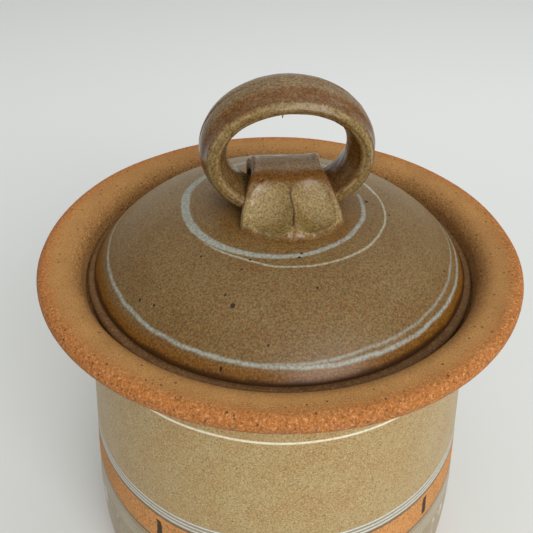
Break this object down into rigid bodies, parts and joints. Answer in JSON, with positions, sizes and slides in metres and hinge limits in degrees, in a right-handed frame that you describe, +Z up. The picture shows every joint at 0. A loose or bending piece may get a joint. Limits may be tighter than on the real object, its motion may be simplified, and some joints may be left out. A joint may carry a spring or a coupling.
{
  "type": "cookie jar",
  "caption": "Hand-thrown stoneware cookie jar with a wide flared rim and a domed lid that carries a ring strap handle.",
  "frame": {"origin": "centre of the foot ring, on the table", "axes": "+Z up along the jar's axis; the hole of the ring handle looks along Y, and the thumb-pressed front of its saddle faces -Y"},
  "size_m": [0.23, 0.23, 0.2761],
  "materials": {
    "jar_stoneware": "satin olive-tan glaze with rust speckle; the rim and a band round the wall are bare orange-brown clay",
    "lid_stoneware": "satin olive-brown glaze with rust speckle and a few iron pits, thin pale slip rings, bare clay on the flange"
  },
  "bodies": {
    "root": {"jar": "jar_stoneware", "lid": "lid_stoneware"}
  },
  "joints": []
}
